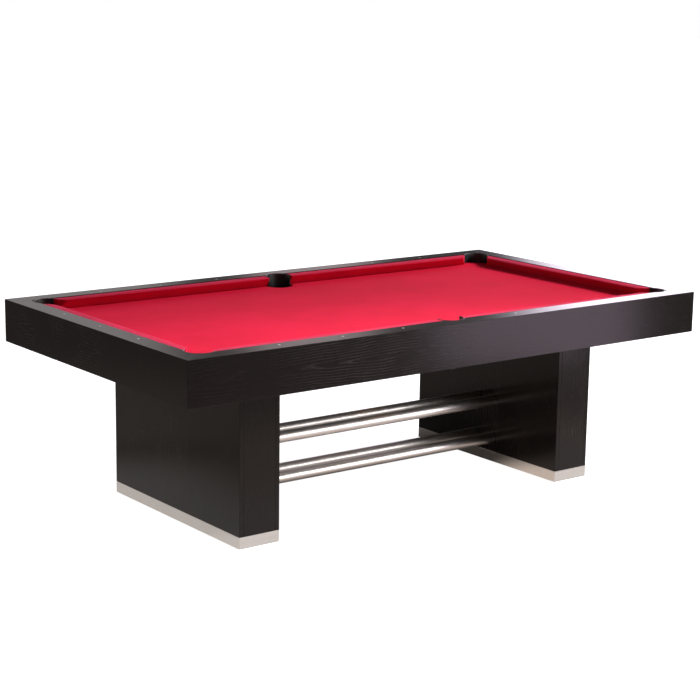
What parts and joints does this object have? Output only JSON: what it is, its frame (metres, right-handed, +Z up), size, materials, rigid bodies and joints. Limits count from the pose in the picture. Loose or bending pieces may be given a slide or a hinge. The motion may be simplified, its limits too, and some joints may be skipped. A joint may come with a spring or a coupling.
{
  "type": "pool table",
  "caption": "Contemporary pool table: slate bed in red cloth, cushioned dark oak rails and aprons, pocket buckets, panel pedestals on metal plinths joined by stretcher tubes.",
  "frame": {"origin": "on the floor under the middle of the table, at the centre of the bottom of its box", "axes": "+X along the table's length, +Y across it towards the back long side, +Z up"},
  "size_m": [2.496, 1.376, 0.8],
  "materials": {
    "dark_oak": "open-pore oak veneer stained near black, satin lacquer",
    "frame_timber": "bare sawn softwood and board",
    "slate": "honed grey slate",
    "bed_cloth": "tight napped red billiard cloth",
    "cushion_cloth": "red billiard cloth stretched over cushion rubber",
    "pocket_black": "moulded black pocket liner",
    "plinth_aluminium": "brushed satin sheet",
    "tube_steel": "polished and finely brushed tube",
    "foot_black": "moulded black pad",
    "stud_steel": "zinc plated"
  },
  "bodies": {
    "table": {"apron_back": "dark_oak", "apron_front": "dark_oak", "apron_left": "dark_oak", "apron_right": "dark_oak", "bed_cloth": "bed_cloth", "cross_beam_1": "frame_timber", "cross_beam_2": "frame_timber", "cross_beam_3": "frame_timber", "cross_beam_4": "frame_timber", "cushion_back_left": "cushion_cloth", "cushion_back_right": "cushion_cloth", "cushion_front_left": "cushion_cloth", "cushion_front_right": "cushion_cloth", "cushion_left": "cushion_cloth", "cushion_right": "cushion_cloth", "long_beam_back": "frame_timber", "long_beam_front": "frame_timber", "pedestal_left_back_panel": "dark_oak", "pedestal_left_front_panel": "dark_oak", "pedestal_left_inner_panel": "dark_oak", "pedestal_left_outer_panel": "dark_oak", "pedestal_left_top_board": "frame_timber", "pedestal_right_back_panel": "dark_oak", "pedestal_right_front_panel": "dark_oak", "pedestal_right_inner_panel": "dark_oak", "pedestal_right_outer_panel": "dark_oak", "pedestal_right_top_board": "frame_timber", "plinth_left_base": "frame_timber", "plinth_left_skirt": "plinth_aluminium", "plinth_right_base": "frame_timber", "plinth_right_skirt": "plinth_aluminium", "pocket_back_left": "pocket_black", "pocket_back_middle": "pocket_black", "pocket_back_right": "pocket_black", "pocket_front_left": "pocket_black", "pocket_front_middle": "pocket_black", "pocket_front_right": "pocket_black", "rail_back_left": "dark_oak", "rail_back_right": "dark_oak", "rail_front_left": "dark_oak", "rail_front_right": "dark_oak", "rail_left": "dark_oak", "rail_right": "dark_oak", "slate_left": "slate", "slate_middle": "slate", "slate_right": "slate", "stretcher_lower_back": "tube_steel", "stretcher_lower_front": "tube_steel", "stretcher_upper_back": "tube_steel", "stretcher_upper_front": "tube_steel"},
    "pad_left_front": {"foot_pad_left_front": "foot_black"},
    "stud_left_front": {"foot_stud_left_front": "stud_steel"},
    "pad_left_back": {"foot_pad_left_back": "foot_black"},
    "stud_left_back": {"foot_stud_left_back": "stud_steel"},
    "pad_right_front": {"foot_pad_right_front": "foot_black"},
    "stud_right_front": {"foot_stud_right_front": "stud_steel"},
    "pad_right_back": {"foot_pad_right_back": "foot_black"},
    "stud_right_back": {"foot_stud_right_back": "stud_steel"}
  },
  "joints": [
    {"name": "foot_left_front_travel", "type": "slide", "parent": "table", "child": "pad_left_front", "axis": [0, 0, -1], "range_m": [0, 0.014]},
    {"name": "foot_left_front_turn", "type": "hinge", "parent": "pad_left_front", "child": "stud_left_front", "pos_m": [-0.795, -0.38, 0.05], "axis": [0, 0, -1], "range_deg": [0, 2881]},
    {"name": "foot_left_back_travel", "type": "slide", "parent": "table", "child": "pad_left_back", "axis": [0, 0, -1], "range_m": [0, 0.014]},
    {"name": "foot_left_back_turn", "type": "hinge", "parent": "pad_left_back", "child": "stud_left_back", "pos_m": [-0.795, 0.38, 0.05], "axis": [0, 0, -1], "range_deg": [0, 2881]},
    {"name": "foot_right_front_travel", "type": "slide", "parent": "table", "child": "pad_right_front", "axis": [0, 0, -1], "range_m": [0, 0.014]},
    {"name": "foot_right_front_turn", "type": "hinge", "parent": "pad_right_front", "child": "stud_right_front", "pos_m": [0.795, -0.38, 0.05], "axis": [0, 0, -1], "range_deg": [0, 2881]},
    {"name": "foot_right_back_travel", "type": "slide", "parent": "table", "child": "pad_right_back", "axis": [0, 0, -1], "range_m": [0, 0.014]},
    {"name": "foot_right_back_turn", "type": "hinge", "parent": "pad_right_back", "child": "stud_right_back", "pos_m": [0.795, 0.38, 0.05], "axis": [0, 0, -1], "range_deg": [0, 2881]}
  ],
  "couplings": [
    {"joint": "foot_left_front_turn", "follows": "foot_left_front_travel", "rad_per_m": 3590.4},
    {"joint": "foot_left_back_turn", "follows": "foot_left_back_travel", "rad_per_m": 3590.4},
    {"joint": "foot_right_front_turn", "follows": "foot_right_front_travel", "rad_per_m": 3590.4},
    {"joint": "foot_right_back_turn", "follows": "foot_right_back_travel", "rad_per_m": 3590.4}
  ]
}
